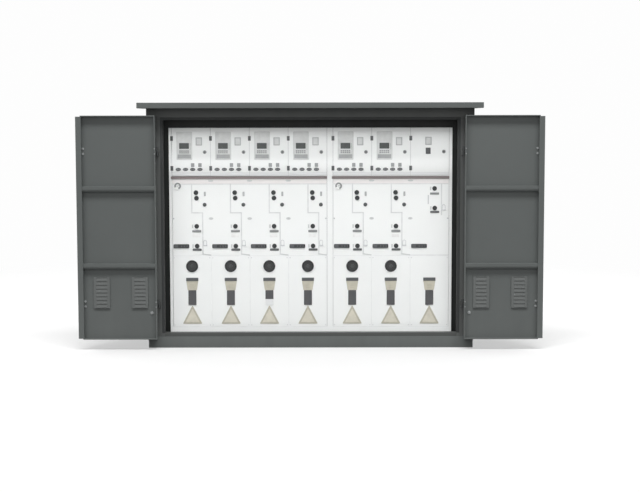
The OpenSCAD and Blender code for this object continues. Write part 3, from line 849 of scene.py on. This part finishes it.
def socket(x, u, rise, drop):
    """A round operating socket on panel x, and the bar of its slide."""
    place = on_front(x + u, mimic_low.z + rise)
    collars.turned(place, [(18.5, 0), (18.5, 5.5), (17, 7), (12.5, 7), (11.5, 5.8), (11.5, 3)], 36)
    slides.slab(place, rect(20, 6, 1), 3, 4.5)
    slides.turned(place, [(4, 4.5), (4, 5.5), (3, 6)], 16)
    if drop:
        bar = shift(place, 0, -drop)
        bars, ridges = (pale_bars, pale_ridges) if drop > PALE_DROP else (dark_bars, dark_ridges)
        bars.slab(bar, rect(72, 18, 3), 0, 4, 1)
        for k in range(-4, 5):
            ridges.slab(shift(bar, 6 * k), rect(3, 12, 1), 4, 5, 0.5)
        for side in (-1, 1):
            ridges.turned(shift(bar, side * 31), [(3, 4), (3, 4.6), (2, 5)], 14)


for x in middles:
    for u, rise, drop in (END_SOCKETS if x == last_panel else FEEDER_SOCKETS):
        socket(x, u, rise, drop)
put("socket_collars", collars, BLACK, "dark_plastic", "operating_sockets")
put("socket_slides", slides, BLACK, "dark_plastic")
put("slide_bars", pale_bars, BAR_GREY, "dark_plastic")
put("slide_bar_ridges", pale_ridges, KEY_GREY, "dark_plastic")
put("lower_slide_bars", dark_bars, LOW_BAR_GREY, "dark_plastic")
put("lower_bar_ridges", dark_ridges, CHARCOAL, "dark_plastic")

# Position windows and trip buttons, to the right of the upper sockets
WINDOW_AT, TRIP_AT = (107, 1215), (105, 1129)
windows, panes, buttons, button_rings = shapes(4)
for x in feeders:
    place = on_panel(x, WINDOW_AT)
    windows.dish(place, *frame_of(15, 35, 3, 2), 0, 3, 1, 0.6)
    panes.slab(place, rect(10, 30), 1, 1.4, 0.2)
    place = on_panel(x, TRIP_AT)
    button_rings.turned(place, [(15.5, 0), (15.5, 3), (14.5, 4), (12, 4), (11.5, 3)], 28)
    buttons.turned(place, [(10.5, 3), (10.5, 7.5), (9.5, 8.8), (6, 9.5), (2, 9.7)], 28)
put("position_windows", windows, FLAP_GREY, "label_film")
put("position_panes", panes, METER_GREY, "display_glass")
put("trip_button_rings", button_rings, CHARCOAL, "dark_plastic")
put("trip_buttons", buttons, CHARCOAL, "dark_plastic")


def labels(name, material, size, xs, spots, thickness):
    """Equal blank films of (width, height), at each (offset, height) of each panel x."""
    shape = Shape()
    for x in xs:
        for spot in spots:
            shape.slab(on_panel(x, spot), rect(*size, 1), 0, thickness)
    put(name, shape, material, "label_film")


labels("locking_marks", MARK_PALE, (11, 28), feeders, [(7, 956), (9, 797)], 1.2)
labels("blank_labels", LABEL, (60, 26), feeders, [(36, 880)], 0.5)
labels("end_panel_marks", MARK_PALE, (12, 28), [last_panel], [(7, 1257), (9, 1100)], 1.2)

# Padlock loops: an upright arch of wire on a small foot
FEEDER_LOOP, END_LOOP = (107, 826), (111, 1110)
LOOP_RADIUS, LOOP_PROUD, LOOP_LEG = 12, 4.5, 22
loops = Shape()
for panel in middles:
    u, z = END_LOOP if panel == last_panel else FEEDER_LOOP
    x = panel + u
    arch = [(LOOP_RADIUS * cos(t), 6 + LOOP_RADIUS * sin(t)) for t in spread(0, pi, 13)]
    outline = [(LOOP_RADIUS, -LOOP_LEG)] + arch + [(-LOOP_RADIUS, -LOOP_LEG)]
    loops.wire([(x + u, front - LOOP_PROUD, z + v) for u, v in outline], 1.8)
    loops.slab(on_front(x, z - 24), rect(34, 8, 2), 0, 7, 1)
put("padlock_loops", loops, ZINC, "fastener_steel")

# Voltage indicators: a dark bar with a pane in its left third and three test sockets beside it
bar_low, bar_high = box("voltage_indicators")
bar_height = bar_high.z - bar_low.z
bar_u = bar_low.x - middles[0] + FITTING_WIDTH / 2
bar_top = front - bar_low.y
bar_face = bar_top - 0.5
bodies, ends, tests = shapes(3)
for x in middles:
    place = on_front(x + bar_u, (bar_low.z + bar_high.z) / 2)
    bodies.slab(place, rect(FITTING_WIDTH, bar_height, 7), 0, bar_face, 1)
    ends.slab(shift(place, -FITTING_WIDTH / 3),
              rect(FITTING_WIDTH / 3 - 10, bar_height - 10, 3), bar_face, bar_top, 0.3)
    for k in range(3):
        tests.turned(shift(place, 2 + 22 * k), [(5.5, bar_face), (5.5, bar_top - 0.2), (5, bar_top)], 20)
put("indicator_bodies", bodies, BLACK, "dark_plastic", "voltage_indicators")
put("indicator_panes", ends, CHARCOAL, "display_glass")
put("indicator_tests", tests, CHARCOAL, "dark_plastic")


# ---- Cable covers ----

window_low, window_high = box("cable_windows")
window_radius = (window_high.z - window_low.z) / 2
window_z = (window_low.z + window_high.z) / 2
window_depth = front - window_low.y
glass_radius = window_radius - 9
seals, glasses, hubs = shapes(3)
for x in feeders:
    place = on_front(x, window_z)
    seals.turned(place, [(window_radius, 0), (window_radius, window_depth - 2),
                         (window_radius - 2, window_depth), (window_radius - 7, window_depth),
                         (glass_radius, window_depth - 2), (glass_radius, 2)], 56)
    glasses.turned(place, [(glass_radius, 2), (glass_radius, 3), (glass_radius - 1, 3.5)], 56)
    hubs.turned(place, [(15, 3.5), (15, 4.2), (14, 4.6), (9, 4.6), (8.5, 4)], 32)
put("window_seals", seals, RUBBER, "seal_rubber", "cable_windows")
put("window_glasses", glasses, PANE, "display_glass")
put("window_hubs", hubs, HUB, "dark_plastic")

# Cover fittings from the top down: dark bar, tapered grip, slot plate and a blank three-cornered
# plate. The grip is (width at its top, width at its foot, height), the others (width, height).
BAR, GRIP, SLOT, SIGN = (98, 26), (96, 74, 75), (64, 120), (157, 151)
SIGN_GAP = 1                         # between the slot plate and the three-cornered one
PALE_PANEL, PALE_HEIGHT = 2, 48      # the panel whose slot plate is pale in its lower part
bar_top_z = box("cover_plates")[1].z
grip_top_z = bar_top_z - BAR[1]
slot_top_z = grip_top_z - GRIP[2]
slot_foot_z = slot_top_z - SLOT[1]
bar_strips, grips, grip_ribs, slots, slot_doors, signs, sign_fields = shapes(7)
top, foot, height = GRIP
trapezium = rounded([(-foot / 2, -height), (foot / 2, -height), (top / 2, 0), (-top / 2, 0)], 3)
triangle = [(-SIGN[0] / 2, -SIGN[1]), (SIGN[0] / 2, -SIGN[1]), (0, 0)]
for x in middles:
    bar_strips.slab(on_front(x, bar_top_z - BAR[1] / 2), rect(*BAR, 2), 0, 7, 1.2)
    grip = on_front(x, grip_top_z)
    grips.slab(grip, trapezium, 0, 3, 0.8)
    for k in range(3):
        grip_ribs.slab(shift(grip, 0, -26 - 14 * k), rect(36, 5, 1.5), 3, 4.2, 0.6)
    slot = on_front(x, slot_top_z - SLOT[1] / 2)
    slots.dish(slot, *frame_of(*SLOT, 4, 5), 0, 5, 3.5, 0.8)
    slot_doors.slab(slot, rect(46, 104, 2), 3.5, 4.5)
    sign = on_front(x, slot_foot_z - SIGN_GAP)
    signs.dish(sign, rounded(triangle, 4), rounded(inset(triangle, 12), 2), 0, 3, 2.2, 0.5)
    sign_fields.slab(sign, rounded(inset(triangle, 13.5), 2), 2.2, 2.8, 0.3)
pale_plate = Shape()
pale_plate.slab(on_front(middles[PALE_PANEL], slot_foot_z + PALE_HEIGHT / 2, 5),
                rect(SLOT[0], PALE_HEIGHT, 3), 0, 0.6, 0.3)
put("pale_slot_plate", pale_plate, PALE_BAND, "label_film")
put("cover_bars", bar_strips, CHARCOAL, "dark_plastic", "cover_plates")
put("cover_grips", grips, BEIGE, "label_film")
put("cover_grip_ribs", grip_ribs, BEIGE_DARK, "label_film")
put("slot_plates", slots, SLATE, "dark_plastic")
put("slot_doors", slot_doors, SLATE, "dark_plastic")
put("blank_triangles", signs, BEIGE_DARK, "label_film")
put("blank_triangle_fields", sign_fields, BEIGE_FIELD, "label_film")


# ---- Doors ----

for side in SIDES:
    for name in ("outer_leaf", "inner_leaf", "stiffeners", "rebate_strip"):
        softened(f"{side}_{name}", HOUSING, 1.1)
    for name in ("door_hinges", "leaf_hinges", "post_hinges"):
        softened(f"{side}_{name}", HINGE, 0.8)
    # The louvres take a paler copy of the housing paint: painted light where the blades catch it.
    finish_node(side + "_louvres", LOUVRE_LIT_PAINT)
    softened(side + "_lock", LOCK_STEEL, 0.8)

leaf_low, leaf_high = box("right_outer_leaf")
hinge_low, hinge_high = box("right_door_hinges")
louvre_low, louvre_high = box("right_louvres")
LEAF_SHEET = 3
pan = leaf_high.y - LEAF_SHEET      # the inside of the leaf's skin

# A rolled edge along the foot of each louvre blade, in the louvres' paler paint: painted highlight lines
BLADES, LOUVRE_RIM, LOUVRE_SIDE, LOUVRE_FIELD = 8, 3, 20, 126
blade_pitch = (louvre_high.z - louvre_low.z - 2 * LOUVRE_RIM) / BLADES
highlight_drips = Shape()
for x in (louvre_low.x + LOUVRE_FIELD / 2, louvre_high.x - LOUVRE_FIELD / 2):
    for k in range(BLADES):
        highlight_drips.slab(at(FRONT, x, louvre_low.y, louvre_low.z + LOUVRE_RIM + k * blade_pitch + 4),
                   rect(LOUVRE_FIELD - 2 * LOUVRE_SIDE, 8, 1), -3, 1.5, 1, 3)

# At the height of each hinge two bolts in the pan, by its outer edge, and two screws in
# the lip by the post
HINGE_HALF, BOLTS_BELOW, BOLT_SPREAD = 17.5, 18, 20
leaf_bolts, studs = shapes(2)
for hinge_z in (hinge_low.z + HINGE_HALF, hinge_high.z - HINGE_HALF):
    for rise in (-BOLT_SPREAD, BOLT_SPREAD):
        z = hinge_z - BOLTS_BELOW + rise
        hex_bolt(leaf_bolts, at(FRONT, leaf_high.x - 14.5, pan, z), 9)
        screw(leaf_bolts, at(FRONT, leaf_low.x + 4, leaf_low.y, z), 5)

# The earthing stud low on the pan
STUD_INSET, STUD_Z, STUD_WASHER = 42, 291, 2.5
stud = at(FRONT, leaf_low.x + STUD_INSET, pan, STUD_Z)
studs.turned(stud, [(13, 0), (13, 2), (12, STUD_WASHER)])
hex_bolt(studs, shift(stud, n=STUD_WASHER), 10)
for side, sign in SIDES.items():
    for name, shape, material, slot in (("louvre_drips", highlight_drips, LOUVRE_LIT_PAINT, "housing_paint"),
                                        ("leaf_bolts", leaf_bolts, BOLT_GREY, "fastener_steel"),
                                        ("earthing_stud", studs, BOLT_GREY, "fastener_steel")):
        mesh = shape.mesh(f"{side}_{name}", sign < 0)
        add_piece(f"{side}_{name}", mesh, material, side + "_door")


# ---- Floor, backdrop, light and camera, in metres ----

BACKGROUND = 0.985
FLOOR_SEEN = 0.78
FLOOR_BOUNCE = 0.22
FLOOR_HALF = 60.0
FADE_START, FADE_END = 2.2, 6.5      # the floor turns plain white between these distances
DOME = 0.24


def grey(value):
    """A grey of that value as a shader wants it."""
    return (value, value, value, 1)


def looked_at(tree):
    """1 for a ray from the camera, or one mirrored or let through by the object, and 0 for light."""
    rays = node(tree, "LightPath").outputs
    mirrored = worked("MAXIMUM", rays["Is Glossy Ray"], rays["Is Transmission Ray"])
    return worked("MAXIMUM", rays["Is Camera Ray"], mirrored)


def emptied(owner):
    """The shader tree of a material or a world, cleared."""
    owner.use_nodes = True
    owner.node_tree.nodes.clear()
    return owner.node_tree


def backdrop():
    """A pale floor that keeps the shadow near the object and fades to plain white far off."""
    shape = Shape()
    corners = between(-FLOOR_HALF, -FLOOR_HALF, FLOOR_HALF, FLOOR_HALF)
    shape.points = [Vector((x, y, 0)) for x, y in corners]
    shape.faces = [(0, 1, 2, 3)]
    floor = new_object("floor", shape.mesh("floor"))
    material = bpy.data.materials.new("floor")
    tree = emptied(material)
    place = node(tree, "TexCoord").outputs["Object"]
    away = node(tree, "VectorMath", {0: place}, operation="LENGTH").outputs["Value"]
    near = node(tree, "BsdfDiffuse", {"Color": grey(FLOOR_SEEN)})
    far = node(tree, "Emission", {"Color": grey(BACKGROUND), "Strength": 1.0})
    seen = node(tree, "MixShader", {0: reach(away, FADE_START, FADE_END, 0.3, 1.0),
                                    1: near.outputs[0], 2: far.outputs[0]})
    plain = node(tree, "BsdfDiffuse", {"Color": grey(FLOOR_BOUNCE)})
    both = node(tree, "MixShader", {0: looked_at(tree), 1: plain.outputs[0], 2: seen.outputs[0]})
    node(tree, "OutputMaterial", {"Surface": both.outputs[0]})
    floor.data.materials.append(material)


def sky():
    """A soft even dome, seen as plain white."""
    world = bpy.data.worlds.new("dome")
    bpy.context.scene.world = world
    tree = emptied(world)
    dome = node(tree, "Background", {"Color": grey(1), "Strength": DOME})
    white = node(tree, "Background", {"Color": grey(1), "Strength": BACKGROUND})
    both = node(tree, "MixShader", {0: looked_at(tree), 1: dome.outputs[0], 2: white.outputs[0]})
    node(tree, "OutputWorld", {"Surface": both.outputs[0]})


def softbox(name, azimuth, elevation, distance, size, power, target, beam=180):
    """A soft lamp in a direction from its target; azimuth 0 is in front, on the -Y side.
    One with a narrow beam, in degrees, stands close by and leaves no reflection."""
    a, e = radians(azimuth), radians(elevation)
    offset = Vector((sin(a) * cos(e), -cos(a) * cos(e), sin(e))) * distance
    data = bpy.data.lights.new(name, "AREA")
    data.shape = "RECTANGLE"
    data.size, data.size_y = size
    data.energy = power
    data.spread = radians(beam)
    lamp = new_object(name, data)
    lamp.visible_camera = False
    lamp.visible_glossy = beam == 180
    lamp.location = target + offset
    lamp.rotation_euler = (-offset).to_track_quat("-Z", "Y").to_euler()


middle = Vector((0, base_low.y * MM, 1.0))
softbox("key_softbox", 0, 61, 14.0, (14.0, 3.8), 2050, middle)
softbox("front_softbox", 0, 18, 9.0, (8.0, 3.4), 150, middle)
softbox("gear_softbox", 0, 15, 1.5, (2.36, 1.58), 2.7, Vector((0, front * MM, 0.84)), 12)
softbox("instrument_softbox", 0, 20, 0.5, (2.36, 0.26), 0.65, Vector((0, front * MM, 1.56)), 14)
for side, sign in SIDES.items():
    softbox(side + "_softbox", sign * 108, 20, 7.0, (5.0, 3.0), 200, middle)
softbox("back_softbox", 180, 25, 7.0, (7.0, 3.0), 250, Vector((0, base_high.y * MM, 1.0)))
backdrop()
sky()

# The camera as it was fitted to the photo's edges
camera_data = bpy.data.cameras.new("camera")
camera_data.sensor_width = 36
camera_data.lens = 78.6
camera = new_object("camera", camera_data)
camera.location = (0.089, -11.515, 1.817)
camera.rotation_euler = (radians(90 - 5.225), radians(0.09), radians(0.066))
bpy.context.scene.camera = camera
bpy.context.scene.view_settings.view_transform = "Standard"
